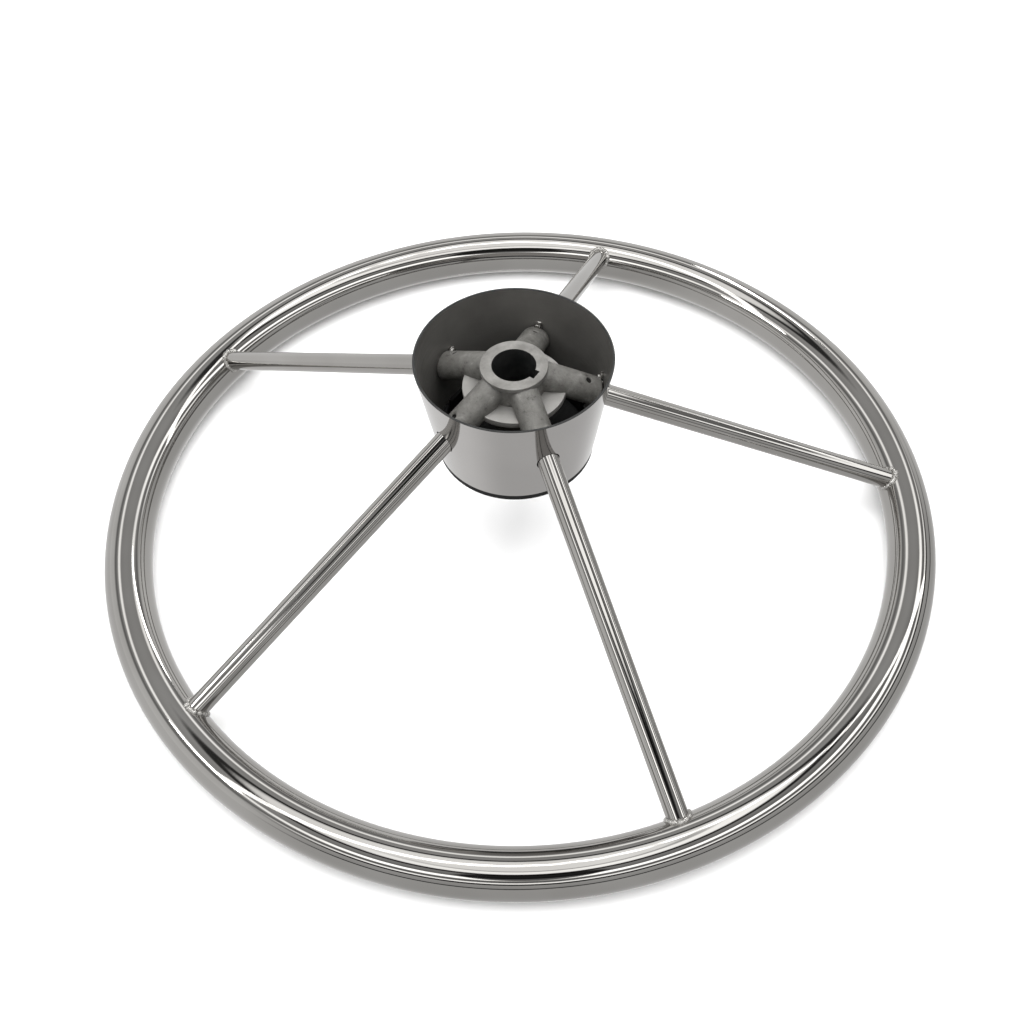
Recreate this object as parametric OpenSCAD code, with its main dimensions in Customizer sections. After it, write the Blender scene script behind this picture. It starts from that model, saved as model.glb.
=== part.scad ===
// Dished five-spoke steering wheel for a boat, lying on its rim with the shaft side up.
// The floor is z = 0 under the rim and the shaft axis is the Z axis.
// Every length is in millimetres and every angle in degrees.

/* [Rim] */
// Outside diameter of the whole wheel
wheel_od = 393.7; // [280:0.1:480]
// Outside diameter of the rim tube
rim_tube_od = 22; // [18:0.5:28]
// Wall thickness of the rim tube
rim_tube_wall = 1.5; // [1:0.1:2.5]

/* [Spokes] */
// Outside diameter of a spoke tube
spoke_od = 9.5; // [8:0.1:12.7]
// Wall thickness of a spoke tube
spoke_wall = 1.2; // [0.8:0.1:2]
// Angle of each spoke below the wheel plane as it runs outwards
spoke_dish = 27; // [10:0.1:35]
// Height of the spoke axis over the centre of the rim tube, square to the spoke
spoke_land = 2; // [0:0.1:5]
// Bead of the rim weld, measured on the rim tube
weld_leg_rim = 1.8; // [1:0.1:2.5]
// Bead of the rim weld, measured on the spoke
weld_leg_spoke = 1.4; // [1:0.1:2]

/* [Cup] */
// Outside radius of the wide open end of the cup
cup_wide_r = 43.1; // [38:0.1:55]
// Outside radius of the small end of the cup
cup_small_r = 35.3; // [30:0.1:45]
// Height of the wide open end above the floor
cup_wide_z = 113.9; // [100:0.1:125]
// Height of the small end above the floor
cup_small_z = 63.5; // [60:0.1:80]
// Thickness of the cup wall
cup_wall = 1.2; // [0.8:0.1:2]
// Gap all round a spoke in its hole in the cup wall
cup_hole_gap = 0.4; // [0.2:0.05:0.8]

/* [Hub casting] */
// Radius of the machined collar round the shaft bore
collar_r = 14.7; // [13:0.1:18]
// Thickness of the machined collar
collar_h = 2.2; // [1:0.1:4]
// Radius of the boss under the collar
boss_r = 13.4; // [12:0.1:16]
// Height of the collar face above the floor
boss_top_z = 107.4; // [100:0.1:112]
// Length of the boss and of its bore
boss_len = 26.4; // [20:0.1:34]
// Radius of the shaft bore
bore_r = 9.525; // [8:0.025:11]
// Width of the keyway
key_w = 4.8; // [3:0.1:6.4]
// Distance from the shaft axis to the floor of the keyway
key_floor_r = 11.5; // [10:0.1:13]
// Radius of the thin web between the arms
web_r = 22.7; // [18:0.1:30]
// Thickness of the web
web_t = 3; // [2:0.1:5]
// Height of the upper face of the web
web_top_z = 97; // [90:0.1:100]
// Outside diameter of a socket arm
arm_od = 13; // [11:0.1:15]
// Gap between the end of an arm and the cup wall
arm_gap = 1; // [0.5:0.1:2]
// Radius at which a spoke ends inside its socket arm
socket_r = 24; // [20:0.5:28]
// Radial gap between a spoke and its socket
socket_gap = 0.05; // [0.02:0.01:0.2]

/* [Pins and tack welds] */
// Diameter of the pin that holds a spoke in its arm
pin_d = 2.5; // [1.5:0.1:4]
// Distance of the pin from the shaft axis
pin_r = 29.5; // [27:0.5:34]
// Turn of the pin round the arm from its top
pin_turn = 11; // [-30:1:30]
// Depth of the pin head under the skin of the arm
pin_sink = 0.8; // [0.2:0.1:1.2]
// Radius of a tack weld between an arm and the cup
tack_r = 2.5; // [1:0.1:3]

/* [Centre cap] */
// Radius of the cap flange
cap_r = 35; // [30:0.1:45]
// Thickness of the cap flange
cap_t = 2.6; // [1.5:0.1:4]
// Height of the dome on the front of the cap
cap_dome = 3.6; // [1:0.1:8]
// Radius of the cap skirt inside the cup
skirt_r = 33.85; // [30:0.05:34]
// Thickness of the cap skirt
skirt_t = 1.8; // [1:0.1:3]
// Height of the cap skirt
skirt_h = 8.5; // [4:0.1:12]
// Number of slots in the skirt
skirt_slots = 8; // [4:1:12]
// Width of one slot in the skirt
slot_w = 3; // [1:0.1:6]

/* [Output] */
// Which piece is drawn

/* [Hidden] */

$fn = 96;
eps = 0.01;
rim_tube_r = rim_tube_od / 2;
rim_r = (wheel_od - rim_tube_od) / 2;
rim_z = rim_tube_r;
spoke_r = spoke_od / 2;
spoke_pitch = 72;
first_spoke = -90;

// The five spoke axes meet on the shaft axis at this height.
apex_z = rim_z + spoke_land / cos(spoke_dish) + rim_r * tan(spoke_dish);
// A spoke stops level with the centre of the rim tube, inside the cope.
spoke_end = rim_r / cos(spoke_dish) + spoke_land * tan(spoke_dish);
spoke_start = socket_r / cos(spoke_dish);

cup_grow = (cup_wide_r - cup_small_r) / (cup_wide_z - cup_small_z);
cup_in_small = cup_small_r - cup_wall;
cup_in_wide = cup_wide_r - cup_wall;

boss_low_z = boss_top_z - boss_len;
arm_r = arm_od / 2;
arm_reach = 60;
pin_along = pin_r / cos(spoke_dish);
pin_hole_r = pin_d / 2 + 0.05;
pin_top = arm_r - pin_sink;
pin_low = spoke_r - spoke_wall - 0.4;
tack_out = arm_r + 0.8;
cap_z = cup_small_z - 0.1;
cap_round = 0.4;
skirt_in = skirt_r - skirt_t;
dome_steps = 6;
// The tack welds sit at hand-placed turns round the ends of the arms.
tack_turn = [-10, -32, 8, 56, 20];

steel = [0.76, 0.76, 0.75];
satin = [0.66, 0.65, 0.63];
cast = [0.47, 0.46, 0.44];
bead = [0.55, 0.54, 0.52];
black = [0.06, 0.06, 0.06];

// Distance along a spoke to the middle of the gap between arm end and cup wall.
function gap_along(turn) =
  (cup_in_small
    + (apex_z - cup_small_z + tack_out * cos(turn) * cos(spoke_dish)) * cup_grow
    - tack_out * cos(turn) * sin(spoke_dish)
    - arm_gap / 2
    - pow(tack_out * sin(turn), 2) / (2 * cup_in_small))
  / (cos(spoke_dish) + sin(spoke_dish) * cup_grow);

// Local Z runs outwards along spoke k and local -X is the upper side.
module along_spoke(k) {
  rotate([0, 0, first_spoke + spoke_pitch * (k - 1)])
    translate([0, 0, apex_z])
      rotate([0, 90 + spoke_dish, 0])
        children();
}

module rim_solid(r) {
  translate([0, 0, rim_z])
    rotate_extrude()
      translate([rim_r, 0])
        circle(r = r);
}

// Solid inside of the cup, shrunk by a gap.
module cup_inside(gap) {
  translate([0, 0, cup_small_z])
    cylinder(r1 = cup_in_small - gap, r2 = cup_in_wide - gap, h = cup_wide_z - cup_small_z);
}

module pin_shape(r, low, top) {
  translate([0, 0, pin_along])
    rotate([0, 0, pin_turn])
      rotate([0, -90, 0])
        translate([0, 0, low])
          cylinder(r = r, h = top - low);
}

module rim_tube() {
  color(steel)
    translate([0, 0, rim_z])
      rotate_extrude()
        translate([rim_r, 0])
          difference() {
            circle(r = rim_tube_r);
            circle(r = rim_tube_r - rim_tube_wall);
          }
}

module spoke(k) {
  color(steel)
    difference() {
      along_spoke(k)
        difference() {
          translate([0, 0, spoke_start])
            cylinder(r = spoke_r, h = spoke_end - spoke_start);
          translate([0, 0, spoke_start - 1])
            cylinder(r = spoke_r - spoke_wall, h = spoke_end - spoke_start + 2);
          pin_shape(pin_hole_r, pin_low - 1, arm_r);
        }
      rim_solid(rim_tube_r);
    }
}

module rim_weld(k) {
  color(bead)
    difference() {
      intersection() {
        rim_solid(rim_tube_r + weld_leg_rim);
        along_spoke(k)
          translate([0, 0, spoke_end - 24])
            cylinder(r = spoke_r + weld_leg_spoke, h = 26);
      }
      rim_solid(rim_tube_r);
      along_spoke(k)
        translate([0, 0, spoke_end - 30])
          cylinder(r = spoke_r, h = 40);
    }
}

module hub_cup() {
  color(satin)
    difference() {
      rotate_extrude()
        polygon([
          [cup_in_small, cup_small_z],
          [cup_small_r, cup_small_z],
          [cup_wide_r, cup_wide_z],
          [cup_in_wide, cup_wide_z]
        ]);
      for (k = [1:5])
        along_spoke(k)
          translate([0, 0, spoke_start])
            cylinder(r = spoke_r + cup_hole_gap, h = arm_reach);
    }
}

module hub_casting() {
  color(cast)
    difference() {
      union() {
        translate([0, 0, boss_low_z])
          cylinder(r = boss_r, h = boss_len - collar_h / 2);
        translate([0, 0, boss_top_z - collar_h])
          cylinder(r = collar_r, h = collar_h);
        translate([0, 0, web_top_z - web_t])
          cylinder(r = web_r, h = web_t);
        intersection() {
          union()
            for (k = [1:5])
              along_spoke(k)
                translate([0, 0, boss_r - 3])
                  cylinder(r = arm_r, h = arm_reach);
          cup_inside(arm_gap);
        }
      }
      translate([0, 0, boss_low_z - 1])
        cylinder(r = bore_r, h = boss_len + 2);
      rotate([0, 0, first_spoke + spoke_pitch / 2])
        translate([0, -key_w / 2, boss_low_z - 1])
          cube([key_floor_r, key_w, boss_len + 2]);
      for (k = [1:5])
        along_spoke(k) {
          translate([0, 0, spoke_start])
            cylinder(r = spoke_r + socket_gap, h = arm_reach);
          pin_shape(pin_hole_r, spoke_r - 0.5, arm_r + 3);
        }
    }
}

module spoke_pin(k) {
  color(bead)
    along_spoke(k)
      pin_shape(pin_d / 2, pin_low, pin_top);
}

module tack_weld(k) {
  color(bead)
    difference() {
      intersection() {
        along_spoke(k)
          rotate([0, 0, tack_turn[k - 1]])
            translate([-tack_out, 0, gap_along(tack_turn[k - 1])])
              sphere(r = tack_r);
        cup_inside(0);
      }
      intersection() {
        along_spoke(k)
          cylinder(r = arm_r, h = arm_reach + 20);
        cup_inside(arm_gap);
      }
    }
}

// Height of a shallow dome of the given rim radius, r from its axis.
function dome(r, edge) = cap_dome * (1 - pow(r / edge, 2));

module cap_shell() {
  edge = cap_r - cap_round;
  rotate_extrude()
    polygon(concat(
      [for (i = [0:dome_steps]) [edge * i / dome_steps, cap_z - cap_t - dome(edge * i / dome_steps, edge)]],
      [[cap_r, cap_z - cap_t + cap_round], [cap_r, cap_z]],
      [for (i = [dome_steps:-1:0]) [skirt_in * i / dome_steps, cap_z - dome(skirt_in * i / dome_steps, skirt_in)]]
    ));
}

module cap_skirt() {
  difference() {
    translate([0, 0, cap_z - 0.1])
      cylinder(r = skirt_r, h = skirt_h);
    translate([0, 0, cap_z - 1])
      cylinder(r = skirt_in, h = skirt_h + 2);
  }
}

module centre_cap() {
  color(black)
    difference() {
      union() {
        cap_shell();
        cap_skirt();
      }
      for (i = [1:skirt_slots])
        rotate([0, 0, i * 360 / skirt_slots])
          translate([skirt_in - 1, -slot_w / 2, cup_small_z + 1.5])
            cube([skirt_t + 2, slot_w, skirt_h]);
    }
}

rim_tube();
spoke(1);  // spoke_1
spoke(2);  // spoke_2
spoke(3);  // spoke_3
spoke(4);  // spoke_4
spoke(5);  // spoke_5
rim_weld(1);  // rim_weld_1
rim_weld(2);  // rim_weld_2
rim_weld(3);  // rim_weld_3
rim_weld(4);  // rim_weld_4
rim_weld(5);  // rim_weld_5
hub_cup();
hub_casting();
spoke_pin(1);  // spoke_pin_1
spoke_pin(2);  // spoke_pin_2
spoke_pin(3);  // spoke_pin_3
spoke_pin(4);  // spoke_pin_4
spoke_pin(5);  // spoke_pin_5
tack_weld(1);  // tack_weld_1
tack_weld(2);  // tack_weld_2
tack_weld(3);  // tack_weld_3
tack_weld(4);  // tack_weld_4
tack_weld(5);  // tack_weld_5
centre_cap();
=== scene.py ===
"""Dished five-spoke boat steering wheel, lying on its rim with the shaft side up."""
import math

import bmesh
import bpy
from mathutils import Matrix, Vector

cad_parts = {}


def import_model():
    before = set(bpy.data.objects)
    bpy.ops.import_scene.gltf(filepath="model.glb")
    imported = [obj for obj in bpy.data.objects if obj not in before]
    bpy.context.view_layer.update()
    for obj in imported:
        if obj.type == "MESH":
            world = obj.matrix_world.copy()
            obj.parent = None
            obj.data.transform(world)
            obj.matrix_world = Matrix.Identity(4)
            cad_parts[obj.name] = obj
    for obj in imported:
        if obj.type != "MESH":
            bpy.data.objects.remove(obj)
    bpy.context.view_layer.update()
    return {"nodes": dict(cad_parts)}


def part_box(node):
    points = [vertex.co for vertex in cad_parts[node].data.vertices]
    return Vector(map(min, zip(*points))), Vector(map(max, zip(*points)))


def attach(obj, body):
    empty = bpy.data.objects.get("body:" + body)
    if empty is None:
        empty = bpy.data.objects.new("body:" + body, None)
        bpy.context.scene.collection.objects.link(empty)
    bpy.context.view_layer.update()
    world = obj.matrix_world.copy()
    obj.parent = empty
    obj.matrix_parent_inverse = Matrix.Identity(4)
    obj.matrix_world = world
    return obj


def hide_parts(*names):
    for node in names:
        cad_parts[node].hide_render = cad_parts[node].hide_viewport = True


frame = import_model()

MM = 0.001

# ---------------------------------------------------------------- dimensions, in metres
RIM_LOW, RIM_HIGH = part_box("rim_tube")
TUBE_R = (RIM_HIGH[2] - RIM_LOW[2]) / 2
RIM_R = (RIM_HIGH[0] - RIM_LOW[0]) / 2 - TUBE_R
RIM_Z = RIM_LOW[2] + TUBE_R

SPOKES = 5
PITCH = 2 * math.pi / SPOKES
FIRST_SPOKE = -math.pi / 2
SPOKE_R = 4.75 * MM
DISH = math.radians(27)
LAND = 2 * MM
APEX_Z = RIM_Z + LAND / math.cos(DISH) + RIM_R * math.tan(DISH)
SPOKE_END = RIM_R / math.cos(DISH) + LAND * math.tan(DISH)
SPOKE_START = 24 * MM / math.cos(DISH)

CUP_LOW, CUP_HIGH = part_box("hub_cup")
CUP_Z0, CUP_Z1 = CUP_LOW[2], CUP_HIGH[2]
CUP_R0, CUP_R1 = 35.3 * MM, CUP_HIGH[0]
CUP_WALL = 1.2 * MM
CUP_HOLE_R = SPOKE_R + 0.4 * MM
CUP_EDGE = 0.5 * MM
CUP_SLOPE = (CUP_R1 - CUP_R0) / (CUP_Z1 - CUP_Z0)

HUB_LOW, HUB_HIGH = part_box("hub_casting")
BOSS_Z0, BOSS_Z1 = HUB_LOW[2], HUB_HIGH[2]
BOSS_R, COLLAR_R, COLLAR_H = 13.4 * MM, 14.7 * MM, 2.2 * MM
BORE_R = 9.525 * MM
KEY_W, KEY_FLOOR = 4.8 * MM, 11.5 * MM
WEB_R, WEB_T, WEB_Z = 22.7 * MM, 3 * MM, 97 * MM
ARM_R, ARM_GAP = 6.5 * MM, 1 * MM
PIN_R, PIN_TURN = 1.3 * MM, math.radians(11)
PIN_ALONG = 29.5 * MM / math.cos(DISH)
TACK_TURNS = [math.radians(a) for a in (-10, -32, 8, 56, 20)]
TACK_OUT, TACK_CURL = ARM_R + 0.8 * MM, math.pi * 0.7

CAP_LOW, CAP_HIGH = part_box("centre_cap")
CAP_R = CAP_HIGH[0]
CAP_Z, CAP_T, CAP_DOME = CUP_Z0 - 0.1 * MM, 2.6 * MM, 3.6 * MM
CAP_EDGE = 0.4 * MM
SKIRT_R, SKIRT_T = 33.85 * MM, 1.8 * MM
SLOTS, SLOT_W = 8, 3 * MM
SLOT_ROOT = CUP_Z0 + 1.5 * MM

TOOL_LENGTH = 60 * MM
SOCKET_R = SPOKE_R + 0.1 * MM


# ---------------------------------------------------------------- camera
CAMERA_ANGLES = (-19.87, 51.49, -1.81)  # azimuth, elevation and roll, in degrees
CAMERA_DISTANCE = 3.523  # in rim radii, from the middle of the rim
CAMERA_LENS = 47.7  # focal length in mm on a 36 mm sensor
CAMERA_SHIFT = (-0.0062, -0.0039)


def add_camera():
    """Looks at the middle of the rim from the shaft side."""
    azimuth, elevation, roll = (math.radians(a) for a in CAMERA_ANGLES)
    distance = CAMERA_DISTANCE * RIM_R
    centre = Vector((0, 0, RIM_Z))
    back = Vector((math.sin(azimuth) * math.cos(elevation),
                   -math.cos(azimuth) * math.cos(elevation), math.sin(elevation)))
    side = Vector((math.cos(azimuth), math.sin(azimuth), 0))
    up = back.cross(side)
    right = side * math.cos(roll) + up * math.sin(roll)
    top = -side * math.sin(roll) + up * math.cos(roll)
    data = bpy.data.cameras.new("camera")
    data.lens, data.sensor_width = CAMERA_LENS, 36
    data.shift_x, data.shift_y = CAMERA_SHIFT
    cam = bpy.data.objects.new("camera", data)
    turn = Matrix((right, top, back)).transposed().to_4x4()
    cam.matrix_world = Matrix.Translation(centre + back * distance) @ turn
    bpy.context.collection.objects.link(cam)
    bpy.context.scene.camera = cam


# ---------------------------------------------------------------- materials
class Nodes:
    """A material with its Principled shader and short ways to add nodes."""

    def __init__(self, name, **shader):
        self.material = bpy.data.materials.new(name)
        self.material.use_nodes = True
        self.tree = self.material.node_tree
        self.shader = self.tree.nodes["Principled BSDF"]
        for key, value in shader.items():
            self.shader.inputs[key.replace("_", " ")].default_value = value
        self.coords = self.tree.nodes.new("ShaderNodeTexCoord").outputs["Object"]

    def link(self, out, socket):
        self.tree.links.new(out, socket)

    def noise(self, scale, detail=3.0, stretch=(1, 1, 1), rough=0.5):
        mapping = self.tree.nodes.new("ShaderNodeMapping")
        mapping.inputs["Scale"].default_value = stretch
        self.link(self.coords, mapping.inputs["Vector"])
        noise = self.tree.nodes.new("ShaderNodeTexNoise")
        noise.inputs["Scale"].default_value = scale
        noise.inputs["Detail"].default_value = detail
        noise.inputs["Roughness"].default_value = rough
        self.link(mapping.outputs["Vector"], noise.inputs["Vector"])
        return noise.outputs["Fac"]

    def ramp(self, fac, stops):
        ramp = self.tree.nodes.new("ShaderNodeValToRGB")
        elements = ramp.color_ramp.elements
        while len(elements) < len(stops):
            elements.new(0.5)
        for element, (place, value) in zip(elements, stops):
            element.position = place
            element.color = (*value, 1) if isinstance(value, tuple) else (value, value, value, 1)
        self.link(fac, ramp.inputs["Fac"])
        return ramp.outputs["Color"]

    def colour(self, fac, stops):
        self.link(self.ramp(fac, stops), self.shader.inputs["Base Color"])

    def roughness(self, fac, low, high):
        self.link(self.ramp(fac, [(0.3, low), (0.7, high)]), self.shader.inputs["Roughness"])

    def bump(self, *heights):
        """heights are (fac, strength, distance in metres), laid one over another."""
        normal = None
        for fac, strength, distance in heights:
            node = self.tree.nodes.new("ShaderNodeBump")
            node.inputs["Strength"].default_value = strength
            node.inputs["Distance"].default_value = distance
            self.link(fac, node.inputs["Height"])
            if normal is not None:
                self.link(normal, node.inputs["Normal"])
            normal = node.outputs["Normal"]
        self.link(normal, self.shader.inputs["Normal"])


def polished_tube():
    m = Nodes("polished_tube", Metallic=1.0)
    m.colour(m.noise(22, 2), [(0.35, (0.345, 0.335, 0.320)), (0.65, (0.385, 0.376, 0.361))])
    m.roughness(m.noise(160, 4), 0.025, 0.065)
    m.bump((m.noise(55, 2), 0.06, 0.4 * MM), (m.noise(900, 3), 0.03, 0.05 * MM))
    return m.material


def cup_outside():
    m = Nodes("cup_outside", Metallic=1.0)
    m.colour(m.noise(18, 2), [(0.35, (0.43, 0.418, 0.406)), (0.65, (0.47, 0.457, 0.444))])
    m.roughness(m.noise(30, 4, (1, 1, 30)), 0.05, 0.10)
    m.bump((m.noise(14, 5, (1, 1, 60)), 0.05, 0.05 * MM))
    return m.material


# Satin steel for the inside of the cup, kept much darker than the outside: its darkness is partly painted shade.
def cup_inside():
    m = Nodes("cup_inside", Metallic=0.6)
    m.colour(m.noise(35, 4), [(0.3, (0.115, 0.111, 0.104)), (0.7, (0.165, 0.160, 0.150))])
    m.roughness(m.noise(60, 4, (1, 1, 12)), 0.36, 0.5)
    m.bump((m.noise(20, 6, (1, 1, 60)), 0.15, 0.06 * MM), (m.noise(700, 2), 0.1, 0.05 * MM))
    return m.material


def hub_cast():
    m = Nodes("hub_cast", Metallic=0.25)
    m.colour(m.noise(190, 9, rough=0.74),
             [(0.30, (0.03, 0.028, 0.026)), (0.42, (0.120, 0.117, 0.108)), (0.58, (0.155, 0.151, 0.141)),
              (0.72, (0.27, 0.263, 0.247))])
    m.roughness(m.noise(240, 4), 0.42, 0.68)
    m.bump((m.noise(90, 3), 0.5, 0.6 * MM), (m.noise(300, 6, rough=0.68), 0.75, 0.45 * MM),
           (m.noise(1300, 3), 0.5, 0.15 * MM))
    return m.material


def machined():
    m = Nodes("hub_machined", Metallic=0.35)
    m.colour(m.noise(140, 6, rough=0.6), [(0.3, (0.125, 0.121, 0.113)), (0.5, (0.19, 0.185, 0.174)),
                                          (0.75, (0.27, 0.263, 0.25))])
    m.roughness(m.noise(300, 4), 0.36, 0.55)
    m.bump((m.noise(420, 4), 0.35, 0.12 * MM), (m.noise(60, 2), 0.2, 0.2 * MM))
    return m.material


def web_face():
    m = Nodes("web_face", Metallic=0.35)
    m.colour(m.noise(90, 5), [(0.3, (0.225, 0.219, 0.208)), (0.7, (0.315, 0.308, 0.295))])
    m.roughness(m.noise(260, 4), 0.4, 0.58)
    m.bump((m.noise(500, 4), 0.2, 0.1 * MM))
    return m.material


# Near-black steel: painted shade, for the deep bore and keyway and for the cup's lip.
def dark_painted_shade():
    m = Nodes("dark_painted_shade", Metallic=0.3)
    m.colour(m.noise(200, 4), [(0.3, (0.012, 0.013, 0.013)), (0.7, (0.03, 0.03, 0.029))])
    m.roughness(m.noise(300, 3), 0.4, 0.6)
    m.bump((m.noise(500, 3), 0.2, 0.08 * MM))
    return m.material


def weld_metal():
    m = Nodes("weld_metal", Metallic=1.0)
    m.colour(m.noise(400, 4), [(0.3, (0.26, 0.25, 0.235)), (0.7, (0.52, 0.51, 0.49))])
    m.roughness(m.noise(600, 3), 0.14, 0.34)
    m.bump((m.noise(700, 4), 0.35, 0.15 * MM))
    return m.material


def dark_pin():
    m = Nodes("dark_pin", Metallic=0.8)
    m.colour(m.noise(900, 3), [(0.3, (0.01, 0.01, 0.01)), (0.7, (0.04, 0.038, 0.035))])
    m.roughness(m.noise(900, 2), 0.5, 0.75)
    m.bump((m.noise(1500, 3), 0.3, 0.08 * MM))
    return m.material


def black_plastic():
    m = Nodes("black_plastic", Specular_IOR_Level=0.16)
    m.colour(m.noise(80, 3), [(0.3, (0.004, 0.004, 0.004)), (0.7, (0.011, 0.011, 0.011))])
    m.roughness(m.noise(500, 3), 0.42, 0.62)
    m.bump((m.noise(1600, 3), 0.25, 0.05 * MM))
    return m.material


MAT = {build.__name__: build() for build in
       (polished_tube, cup_outside, cup_inside, hub_cast, machined, web_face, dark_painted_shade, weld_metal, dark_pin,
        black_plastic)}


# ---------------------------------------------------------------- mesh helpers
def mesh_object(name, verts, faces, material, matrix=None):
    mesh = bpy.data.meshes.new(name)
    mesh.from_pydata([tuple(v) for v in verts], [], faces)
    mesh.materials.append(MAT[material])
    mesh.shade_smooth()
    obj = bpy.data.objects.new(name, mesh)
    bpy.context.collection.objects.link(obj)
    if matrix is not None:
        obj.matrix_world = matrix
    return obj


def ring_faces(rings, points, close_rings):
    """Quads between neighbouring closed rings of points."""
    faces = []
    for i in range(rings if close_rings else rings - 1):
        for j in range(points):
            a, b = i * points + j, i * points + (j + 1) % points
            c, d = (i + 1) % rings * points + (j + 1) % points, (i + 1) % rings * points + j
            faces.append((a, b, c, d))
    return faces


def lathe(name, profile, material, steps=192):
    """Turns a closed (r, z) profile, listed anticlockwise, round the shaft axis."""
    verts = [(r * math.cos(t), r * math.sin(t), z)
             for t in (2 * math.pi * i / steps for i in range(steps)) for r, z in profile]
    return mesh_object(name, verts, ring_faces(steps, len(profile), True), material)


def rounded(points, radius, steps=5):
    """The closed outline with each corner turned into an arc of about that radius."""
    outline = []
    for i, corner in enumerate(points):
        here = Vector(corner)
        before, after = Vector(points[i - 1]) - here, Vector(points[(i + 1) % len(points)]) - here
        reach = min(radius, before.length * 0.45, after.length * 0.45)
        a, b = here + before.normalized() * reach, here + after.normalized() * reach
        for s in range(steps + 1):
            t = s / steps
            outline.append(tuple(a * (1 - t) ** 2 + here * (2 * t * (1 - t)) + b * t ** 2))
    return outline


def keep_creases(obj, degrees=32):
    """Smooth shading, with sharp edges where faces turn more than this."""
    obj.data.shade_smooth()
    obj.data.set_sharp_from_angle(angle=math.radians(degrees))


def apply_modifiers(obj):
    graph = bpy.context.evaluated_depsgraph_get()
    mesh = bpy.data.meshes.new_from_object(obj.evaluated_get(graph))
    obj.modifiers.clear()
    obj.data = mesh


def combine(obj, tool, operation):
    """Cuts, joins or trims obj by tool, then removes the tool."""
    mod = obj.modifiers.new("bool", "BOOLEAN")
    mod.operation, mod.object, mod.solver = operation, tool, "EXACT"
    mod.use_self = True
    apply_modifiers(obj)
    bpy.data.objects.remove(tool)


def solid(name, parts):
    """Closed cylinders and cones in one object.

    Each part is (radius 0, radius 1, length, matrix), built up from local Z = 0.
    """
    bm = bmesh.new()
    for r0, r1, length, matrix in parts:
        place = matrix @ Matrix.Translation((0, 0, length / 2))
        bmesh.ops.create_cone(bm, cap_ends=True, segments=96, radius1=r0, radius2=r1, depth=length, matrix=place)
    mesh = bpy.data.meshes.new(name)
    bm.to_mesh(mesh)
    bm.free()
    mesh.materials.append(MAT["hub_cast"])
    obj = bpy.data.objects.new(name, mesh)
    bpy.context.collection.objects.link(obj)
    return obj


def box_tool(size, centre, turn):
    """A box to cut or join with, turned about the shaft axis."""
    bm = bmesh.new()
    bmesh.ops.create_cube(bm, size=1)
    bmesh.ops.scale(bm, vec=size, verts=bm.verts)
    bmesh.ops.translate(bm, vec=centre, verts=bm.verts)
    bmesh.ops.rotate(bm, matrix=Matrix.Rotation(turn, 3, "Z"), verts=bm.verts)
    mesh = bpy.data.meshes.new("box_tool")
    bm.to_mesh(mesh)
    bm.free()
    obj = bpy.data.objects.new("box_tool", mesh)
    bpy.context.collection.objects.link(obj)
    return obj


def spoke_frame(k):
    """Local Z runs outwards along spoke k (0 to 4) and local -X is its upper side."""
    return (Matrix.Rotation(FIRST_SPOKE + PITCH * k, 4, "Z") @ Matrix.Translation((0, 0, APEX_Z))
            @ Matrix.Rotation(math.pi / 2 + DISH, 4, "Y"))


def up(z):
    return Matrix.Translation((0, 0, z))


def belongs(obj, slot, *nodes, body="wheel"):
    """Ties a piece to its body, in place of its CAD nodes, which it hides; slot is not used."""
    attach(obj, body)
    if nodes:
        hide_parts(*nodes)


# ---------------------------------------------------------------- rim and spokes
def rim():
    major, minor = 400, 72
    verts = []
    for i in range(major):
        a = 2 * math.pi * i / major
        for j in range(minor):
            b = 2 * math.pi * j / minor
            r = RIM_R + TUBE_R * math.cos(b)
            verts.append((r * math.cos(a), r * math.sin(a), RIM_Z + TUBE_R * math.sin(b)))
    obj = mesh_object("rim", verts, ring_faces(major, minor, True), "polished_tube")
    belongs(obj, "polished_tube", "rim_tube")


def spoke(k):
    around, along = 64, 24
    length = SPOKE_END - SPOKE_START
    verts = [(SPOKE_R * math.cos(2 * math.pi * j / around), SPOKE_R * math.sin(2 * math.pi * j / around),
              SPOKE_START + length * i / along) for i in range(along + 1) for j in range(around)]
    faces = ring_faces(along + 1, around, False)
    faces.append(tuple(reversed(range(around))))
    faces.append(tuple(along * around + j for j in range(around)))
    obj = mesh_object(f"spoke_tube_{k + 1}", verts, faces, "polished_tube", spoke_frame(k))
    keep_creases(obj)
    belongs(obj, "polished_tube", f"spoke_{k + 1}")


def depth_in_rim(matrix, local):
    """Distance of a point given in spoke space from the rim tube's surface, negative inside."""
    p = matrix @ local
    return math.hypot(math.hypot(p.x, p.y) - RIM_R, p.z - RIM_Z) - TUBE_R


def meets_rim(matrix, angle, radius):
    """Where a line along the spoke's skin first touches the rim tube."""
    x, y = -radius * math.cos(angle), radius * math.sin(angle)
    low, high = SPOKE_END - 20 * MM, SPOKE_END - 0.5 * MM
    for _ in range(40):
        middle = (low + high) / 2
        if depth_in_rim(matrix, Vector((x, y, middle))) > 0:
            low = middle
        else:
            high = middle
    return Vector((x, y, high))


def bead(name, path, radii, material, closed, matrix, square_to, around=14):
    """A round bead along path, with its own radius at each point. square_to is never along the path."""
    verts, count = [], len(path)
    for i, (here, radius) in enumerate(zip(path, radii)):
        before = path[i - 1] if closed or i else path[i]
        after = path[(i + 1) % count] if closed or i < count - 1 else path[i]
        along = (after - before).normalized()
        side = along.cross(square_to).normalized()
        over = along.cross(side)
        for j in range(around):
            a = 2 * math.pi * j / around
            verts.append(here + radius * (math.cos(a) * side + math.sin(a) * over))
    faces = ring_faces(count, around, closed)
    if not closed:
        faces.append(tuple(range(around)))
        faces.append(tuple((count - 1) * around + j for j in reversed(range(around))))
    return mesh_object(name, verts, faces, material, matrix)


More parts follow.
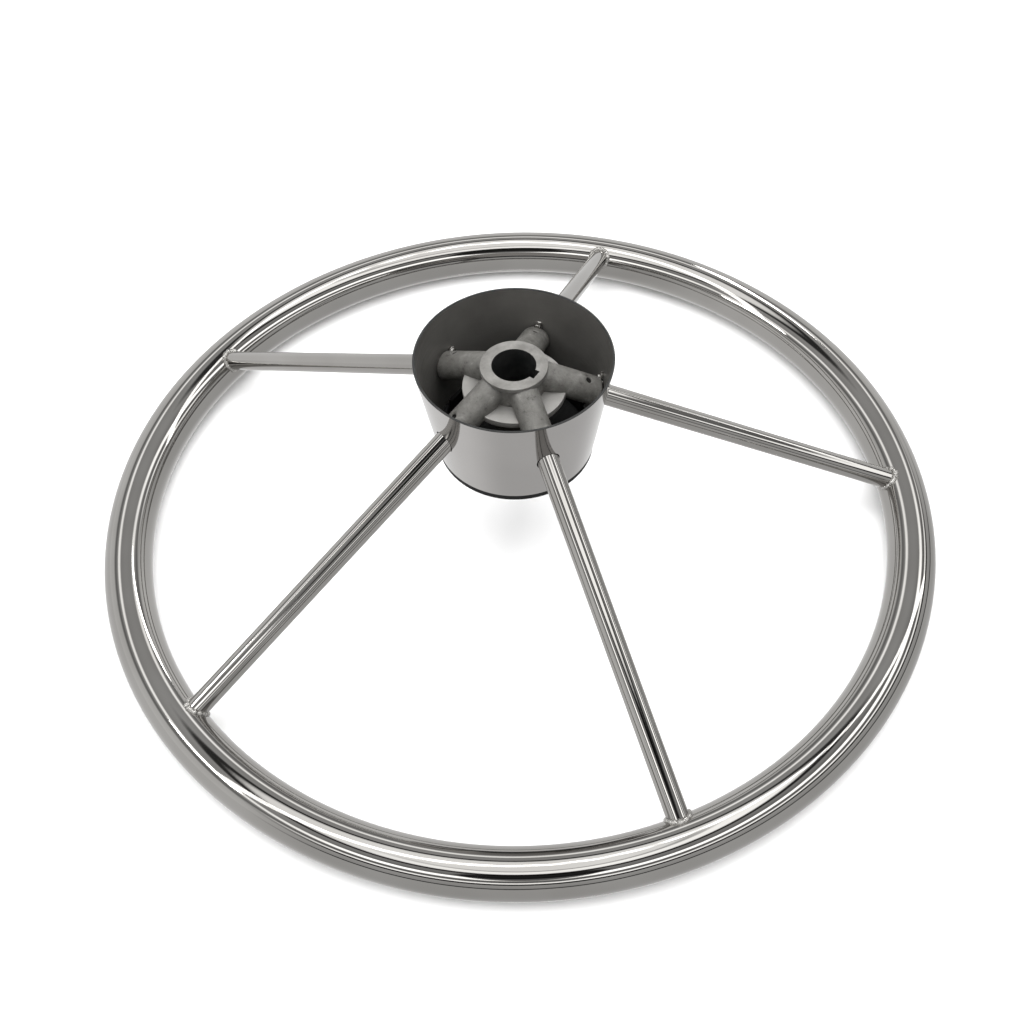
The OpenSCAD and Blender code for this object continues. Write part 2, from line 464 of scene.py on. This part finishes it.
def rim_weld(k):
    """A rippled bead in the corner where spoke k meets the rim."""
    matrix, steps, ripples = spoke_frame(k), 240, 5
    path, radii = [], []
    for i in range(steps):
        a = 2 * math.pi * i / steps
        wobble = math.sin(ripples * a + k + 0.6 * math.sin(2 * a)) ** 2
        corner = meets_rim(matrix, a, SPOKE_R)
        path.append(corner)
        top = 0.5 + 0.5 * math.cos(a)
        radii.append((0.95 + 0.3 * top + 0.32 * wobble + 0.10 * math.sin(17 * a + 2 * k)) * MM)
    obj = bead(f"weld_bead_{k + 1}", path, radii, "weld_metal", True, matrix, Vector((0, 0, 1)))
    belongs(obj, "weld_bead", f"rim_weld_{k + 1}")


# ---------------------------------------------------------------- cup
def cup():
    """The tapered cup, with its own duller steel inside, darkened partly as painted shade, a lip painted
    near-black as shade, and exact normals on both walls.
    """
    outer = [(CUP_R0, CUP_Z0), (CUP_R1, CUP_Z1), (CUP_R1 - CUP_WALL, CUP_Z1), (CUP_R0 - CUP_WALL, CUP_Z0)]
    obj = lathe("cup", rounded(outer, CUP_EDGE, 4), "cup_outside", 256)
    holes = solid("holes", [(CUP_HOLE_R, CUP_HOLE_R, TOOL_LENGTH, spoke_frame(k) @ up(SPOKE_START))
                            for k in range(SPOKES)])
    combine(obj, holes, "DIFFERENCE")
    mesh = obj.data
    mesh.materials.append(MAT["cup_inside"])
    mesh.materials.append(MAT["dark_painted_shade"])
    inside_shade_slot, lip_shade_slot = 1, 2
    lean = math.atan(CUP_SLOPE)
    flat = Vector((math.cos(lean), 0, -math.sin(lean)))
    normals = [Vector(n.vector) for n in mesh.corner_normals]
    mesh.shade_smooth()
    for face in mesh.polygons:
        out = Vector((face.center.x, face.center.y, 0)).normalized()
        skin = Vector((out.x * flat.x, out.y * flat.x, flat.z))
        facing = face.normal.dot(skin)
        # Inner-wall faces take the darker inside steel, partly painted shade.
        if facing < -0.5:
            face.material_index = inside_shade_slot
        # The lip takes the near-black material: painted shade.
        if face.normal.z > 0.3 and face.center.z > CUP_Z1 - 2 * CUP_EDGE:
            face.material_index = lip_shade_slot
        on_a_wall = abs(facing) >= 0.97
        if not on_a_wall:
            continue
        for loop in face.loop_indices:
            p = mesh.vertices[mesh.loops[loop].vertex_index].co
            out = Vector((p.x, p.y, 0)).normalized()
            normals[loop] = Vector((out.x * flat.x, out.y * flat.x, flat.z)) * (1 if facing > 0 else -1)
    mesh.normals_split_custom_set([tuple(n) for n in normals])
    belongs(obj, "cup_steel", "hub_cup")


# ---------------------------------------------------------------- hub casting
CAST_VOXEL = 0.34 * MM


def bore_tool():
    """The bore and its keyway, past both ends of the boss."""
    below = 10 * MM
    tool = solid("bore_tool", [(BORE_R, BORE_R, TOOL_LENGTH, up(BOSS_Z0 - below))])
    combine(tool, key_tool(TOOL_LENGTH, BOSS_Z0 - below + TOOL_LENGTH / 2), "UNION")
    return tool


def key_tool(length, middle):
    """The keyway, halfway between the first two spokes."""
    return box_tool((KEY_FLOOR, KEY_W, length), (KEY_FLOOR / 2, 0, middle), FIRST_SPOKE + PITCH / 2)


def hub_body():
    """Boss and five socket arms, blended like a casting."""
    inside_boss = BOSS_R - 3 * MM
    arms = solid("hub_body", [(ARM_R, ARM_R, TOOL_LENGTH, spoke_frame(k) @ up(inside_boss))
                              for k in range(SPOKES)])
    inside = CUP_R0 - CUP_WALL - ARM_GAP, CUP_R1 - CUP_WALL - ARM_GAP
    combine(arms, solid("trim", [(*inside, CUP_Z1 - CUP_Z0, up(CUP_Z0))]), "INTERSECT")
    under_collar = 1.2 * MM
    boss = solid("boss", [(BOSS_R, BOSS_R, BOSS_Z1 - BOSS_Z0 - under_collar, up(BOSS_Z0))])
    combine(arms, boss, "UNION")
    combine(arms, bore_tool(), "DIFFERENCE")
    holes = solid("holes", [(SOCKET_R, SOCKET_R, TOOL_LENGTH, spoke_frame(k) @ up(SPOKE_START))
                            for k in range(SPOKES)])
    combine(arms, holes, "DIFFERENCE")
    pin_low, pin_length = SPOKE_R - 0.5 * MM, 6 * MM
    pin_holes = solid("pins", [(PIN_R, PIN_R, pin_length, pin_frame(k) @ up(pin_low)) for k in range(SPOKES)])
    combine(arms, pin_holes, "DIFFERENCE")
    remesh = arms.modifiers.new("skin", "REMESH")
    remesh.mode, remesh.voxel_size, remesh.use_smooth_shade = "VOXEL", CAST_VOXEL, True
    smooth = arms.modifiers.new("smooth", "SMOOTH")
    smooth.factor, smooth.iterations = 0.5, 5
    apply_modifiers(arms)
    arms.data.materials.clear()
    arms.data.materials.append(MAT["hub_cast"])
    arms.data.shade_smooth()
    paint_bore_shade(arms)
    belongs(arms, "hub_cast", "hub_casting")


def paint_bore_shade(obj):
    """The bore wall and keyway get a near-black material: painted shade for the deep, capped bore."""
    obj.data.materials.append(MAT["dark_painted_shade"])
    bore_shade_slot, reach = 1, KEY_FLOOR + 0.5 * MM
    for face in obj.data.polygons:
        middle = face.center
        radius = math.hypot(middle.x, middle.y)
        inward = face.normal.x * middle.x + face.normal.y * middle.y < 0.5 * radius
        upright = abs(face.normal.z) < 0.7
        if radius < reach and inward and upright:
            face.material_index = bore_shade_slot


def pin_frame(k):
    """Local Z points out of arm k along its pin."""
    return (spoke_frame(k) @ up(PIN_ALONG) @ Matrix.Rotation(PIN_TURN, 4, "Z")
            @ Matrix.Rotation(-math.pi / 2, 4, "Y"))


def hub_collar():
    """The machined collar round the open end of the bore."""
    low = BOSS_Z1 - COLLAR_H
    face = [(BORE_R, low), (COLLAR_R, low), (COLLAR_R, BOSS_Z1), (BORE_R, BOSS_Z1)]
    obj = lathe("hub_collar", rounded(face, 0.35 * MM, 4), "machined")
    combine(obj, key_tool(20 * MM, BOSS_Z1), "DIFFERENCE")
    keep_creases(obj)
    paint_bore_shade(obj)
    belongs(obj, "hub_cast", "hub_casting")


def hub_web():
    """The disc between the arms and the bottom of the cup."""
    inner = BOSS_R - 1 * MM
    ring = [(inner, WEB_Z - WEB_T), (WEB_R, WEB_Z - WEB_T), (WEB_R, WEB_Z), (inner, WEB_Z)]
    obj = lathe("hub_web", rounded(ring, 0.3 * MM, 4), "web_face")
    keep_creases(obj)
    belongs(obj, "hub_cast", "hub_casting")


def tack_weld(k):
    """A small drop of weld that curls from the end of arm k to the cup wall."""
    matrix, turn = spoke_frame(k), TACK_TURNS[k]
    cos_t, sin_t = math.cos(turn), math.sin(turn)
    inner = CUP_R0 - CUP_WALL
    rise = APEX_Z - CUP_Z0 + TACK_OUT * cos_t * math.cos(DISH)
    gap = (inner + rise * CUP_SLOPE - TACK_OUT * cos_t * math.sin(DISH) - ARM_GAP / 2
           - (TACK_OUT * sin_t) ** 2 / (2 * inner)) / (math.cos(DISH) + math.sin(DISH) * CUP_SLOPE)
    across = Vector((-cos_t, -sin_t, 0))
    middle = across * TACK_OUT + Vector((0, 0, gap))
    steps, path, radii = 34, [], []
    for i in range(steps):
        t = i / (steps - 1)
        curl = t * TACK_CURL
        along = Vector((0, 0, (2.0 * math.sin(curl) - 2.2) * MM))
        path.append(middle + along + across * ((1.6 * (1 - math.cos(curl)) - 1.2) * MM))
        swell = 0.6 + 0.4 * math.sin(math.pi * min(1, 0.1 + t)) ** 0.6
        radii.append((1.55 * swell + 0.3 * math.sin(9 * t + k) ** 2) * MM)
    obj = bead(f"tack_drop_{k + 1}", path, radii, "weld_metal", False, matrix,
               across.cross(Vector((0, 0, 1))))
    belongs(obj, "weld_bead", f"tack_weld_{k + 1}")


def pins():
    """The pins keep their CAD meshes, with a darker finish."""
    for k in range(SPOKES):
        for slot in frame["nodes"][f"spoke_pin_{k + 1}"].material_slots:
            slot.material = MAT["dark_pin"]


# ---------------------------------------------------------------- centre cap
def cap():
    """The domed shell, hollow behind, and the split skirt behind it."""
    edge, steps, corner_steps = CAP_R - CAP_EDGE, 12, 4
    skirt_in, centre = SKIRT_R - SKIRT_T, 0.05 * MM
    front = [(edge * i / steps, CAP_Z - CAP_T - CAP_DOME * (1 - (i / steps) ** 2)) for i in range(steps + 1)]
    front[0] = (centre, front[0][1])
    corners = [(edge, CAP_Z - CAP_T), (CAP_R, CAP_Z - CAP_T), (CAP_R, CAP_Z), (skirt_in, CAP_Z)]
    outline = rounded(corners, 0.35 * MM, corner_steps)
    lip = outline[corner_steps + 1:3 * (corner_steps + 1)]
    back = [(skirt_in * i / steps, CAP_Z - CAP_DOME * (1 - (i / steps) ** 2)) for i in range(steps, -1, -1)]
    back[-1] = (centre, back[-1][1])
    obj = lathe("cap_shell", front + lip + back, "black_plastic")
    keep_creases(obj, 40)
    belongs(obj, "cap_plastic", "centre_cap", body="cap")
    fingers()


def fingers():
    """The split skirt that holds the cap in the cup."""
    steps, low, high = 14, CAP_Z - 0.1 * MM, CAP_HIGH[2]
    inner, half = SKIRT_R - SKIRT_T, SLOT_W / 2 / SKIRT_R
    section = rounded([(inner, low), (SKIRT_R, low), (SKIRT_R, high), (inner, high)], 0.25 * MM, 3)
    verts, faces = [], []
    for f in range(SLOTS):
        start = 2 * math.pi * f / SLOTS + half
        sweep = 2 * math.pi / SLOTS - 2 * half
        base = len(verts)
        for i in range(steps + 1):
            a = start + sweep * i / steps
            verts += [(r * math.cos(a), r * math.sin(a), z) for r, z in section]
        points = len(section)
        faces += [tuple(base + v for v in face) for face in ring_faces(steps + 1, points, False)]
        faces.append(tuple(base + j for j in reversed(range(points))))
        faces.append(tuple(base + steps * points + j for j in range(points)))
    obj = mesh_object("cap_fingers", verts, faces, "black_plastic")
    keep_creases(obj)
    belongs(obj, "cap_plastic", "centre_cap", body="cap")
    band = [(inner, low), (SKIRT_R, low), (SKIRT_R, SLOT_ROOT), (inner, SLOT_ROOT)]
    foot = lathe("cap_skirt_foot", rounded(band, 0.1 * MM, 2), "black_plastic")
    keep_creases(foot)
    belongs(foot, "cap_plastic", "centre_cap", body="cap")


# ---------------------------------------------------------------- studio
# Grey levels of the room by the sine of the height above the horizon, on the camera's side and on the far side.
# Each step shows as a streak along the tubes.
NEAR_ROOM = [(-1.0, 0.70), (-0.02, 0.74), (0.01, 0.05), (0.05, 0.05), (0.08, 0.60), (0.30, 0.70), (0.33, 0.04),
             (0.40, 0.03), (0.42, 2.40), (0.47, 2.40), (0.50, 0.20), (0.60, 0.34), (0.63, 3.40), (0.70, 3.40),
             (0.72, 0.26), (0.84, 0.50), (0.86, 0.03), (0.89, 0.03), (0.91, 2.40), (0.955, 2.40), (0.965, 0.15),
             (0.975, 1.8), (1.0, 1.8)]
FAR_ROOM = [(-1.0, 0.90), (0.0, 0.94), (0.04, 1.05), (0.38, 0.95), (0.46, 0.30), (0.52, 0.30), (0.60, 0.60),
            (0.64, 2.10), (0.68, 2.10), (0.72, 0.50), (0.84, 0.60), (0.86, 0.05), (0.885, 0.05),
            (0.91, 1.80), (1.0, 1.80)]
VIEWER = (-0.21, -0.60, 0.77)  # direction from the wheel to the camera
STRIP_PLACE, STRIP_LONG, STRIP_STRENGTH, STRIP_RIBS = (0.5, 0.16), 1.6, 5.0, 110
BACKDROP = 0.95


class WorldNodes:
    """Short ways to build the room's sky from its direction."""

    def __init__(self, tree):
        self.tree = tree

    def math(self, operation, *values):
        node = self.tree.nodes.new("ShaderNodeMath")
        node.operation = operation
        for socket, value in zip(node.inputs, values):
            if isinstance(value, (int, float)):
                socket.default_value = value
            else:
                self.tree.links.new(value, socket)
        return node.outputs[0]

    def levels(self, height, stops):
        ramp = self.tree.nodes.new("ShaderNodeValToRGB")
        elements = ramp.color_ramp.elements
        while len(elements) < len(stops):
            elements.new(0.5)
        for element, (place, value) in zip(elements, stops):
            element.position, element.color = (place + 1) / 2, (value, value, value, 1)
        self.tree.links.new(height, ramp.inputs["Fac"])
        return ramp.outputs["Color"]

    def step_down(self, value, low, high):
        """1 under low, 0 over high."""
        node = self.tree.nodes.new("ShaderNodeMapRange")
        node.interpolation_type = "SMOOTHSTEP"
        for name, number in (("From Min", low), ("From Max", high), ("To Min", 1), ("To Max", 0)):
            node.inputs[name].default_value = number
        self.tree.links.new(value, node.inputs["Value"])
        return node.outputs["Result"]


def world():
    """A grey room with one ribbed strip light overhead and a dark figure behind the camera.

    The camera itself sees only a plain pale backdrop.
    """
    room = bpy.data.worlds.new("studio")
    bpy.context.scene.world = room
    room.use_nodes = True
    tree = room.node_tree
    w = WorldNodes(tree)
    coords = tree.nodes.new("ShaderNodeTexCoord").outputs["Generated"]
    split = tree.nodes.new("ShaderNodeSeparateXYZ")
    tree.links.new(coords, split.inputs[0])
    x, y, z = split.outputs
    height = w.math("MULTIPLY_ADD", z, 0.5, 0.5)
    near, far = w.levels(height, NEAR_ROOM), w.levels(height, FAR_ROOM)
    nearness = w.step_down(w.math("MULTIPLY_ADD", x, -0.35, y), -0.25, 0.30)
    sky = w.math("ADD", w.math("MULTIPLY", near, nearness),
                 w.math("MULTIPLY", far, w.math("SUBTRACT", 1, nearness)))

    over = w.math("MAXIMUM", z, 0.05)
    u, v = w.math("DIVIDE", x, over), w.math("DIVIDE", y, over)
    along, across = (w.math("ABSOLUTE", w.math("SUBTRACT", value, place))
                     for value, place in zip((u, v), STRIP_PLACE))
    strip, ends = w.step_down(across, 0.05, 0.075), w.step_down(along, STRIP_LONG, STRIP_LONG + 0.2)
    ribs = w.math("MULTIPLY_ADD", w.math("SINE", w.math("MULTIPLY", u, STRIP_RIBS)), 0.45, 0.55)
    lamp = w.math("MULTIPLY", w.math("MULTIPLY", strip, ends), w.math("MULTIPLY", ribs, STRIP_STRENGTH))

    towards = tree.nodes.new("ShaderNodeVectorMath")
    towards.operation = "DOT_PRODUCT"
    tree.links.new(coords, towards.inputs[0])
    towards.inputs[1].default_value = VIEWER
    figure = w.step_down(towards.outputs["Value"], 0.970, 0.980)
    dim = w.math("MULTIPLY_ADD", figure, 0.93, 0.07)

    level = w.math("ADD", w.math("MULTIPLY", sky, dim), lamp)
    backdrop = tree.nodes.new("ShaderNodeMix")
    tree.links.new(tree.nodes.new("ShaderNodeLightPath").outputs["Is Camera Ray"], backdrop.inputs["Factor"])
    tree.links.new(level, backdrop.inputs["A"])
    backdrop.inputs["B"].default_value = BACKDROP
    tree.links.new(backdrop.outputs["Result"], tree.nodes["Background"].inputs["Color"])
    tree.nodes["Background"].inputs["Strength"].default_value = 1.0


def light(name, place, size, power, mirrored, aim=(0, 0, 0.03)):
    """A soft box. Where mirrored is False, it lights surfaces but isn't seen in the polished metal."""
    data = bpy.data.lights.new(name, "AREA")
    data.shape = "RECTANGLE"
    data.size, data.size_y = size
    data.energy = power
    obj = bpy.data.objects.new(name, data)
    obj.location = place
    obj.rotation_euler = (Vector(aim) - Vector(place)).to_track_quat("-Z", "Y").to_euler()
    obj.visible_glossy = mirrored
    bpy.context.collection.objects.link(obj)


def studio():
    """The pale floor, the room and three soft boxes. The polished metal mirrors the room, not the floor."""
    size = 6.0
    verts = [(-size, -size, 0), (size, -size, 0), (size, size, 0), (-size, size, 0)]
    paper = Nodes("floor_paper", Roughness=0.9, Specular_IOR_Level=0.1)
    paper.colour(paper.noise(3, 2), [(0.3, (0.90, 0.90, 0.90)), (0.7, (0.93, 0.93, 0.93))])
    MAT["floor_paper"] = paper.material
    floor = mesh_object("floor", verts, [(0, 1, 2, 3)], "floor_paper")
    floor.visible_glossy = False
    world()
    light("overhead", (0, 0, 2.0), (2.6, 2.6), 46, False)
    light("left_box", (-1.3, 0.2, 1.0), (0.5, 0.12), 3.0, True)
    light("right_box", (0.9, 1.2, 1.1), (0.10, 0.6), 2.5, True)
    bpy.context.scene.view_settings.view_transform = "Standard"


add_camera()
rim()
for spoke_number in range(SPOKES):
    spoke(spoke_number)
    rim_weld(spoke_number)
    tack_weld(spoke_number)
cup()
hub_body()
hub_collar()
hub_web()
pins()
cap()
studio()
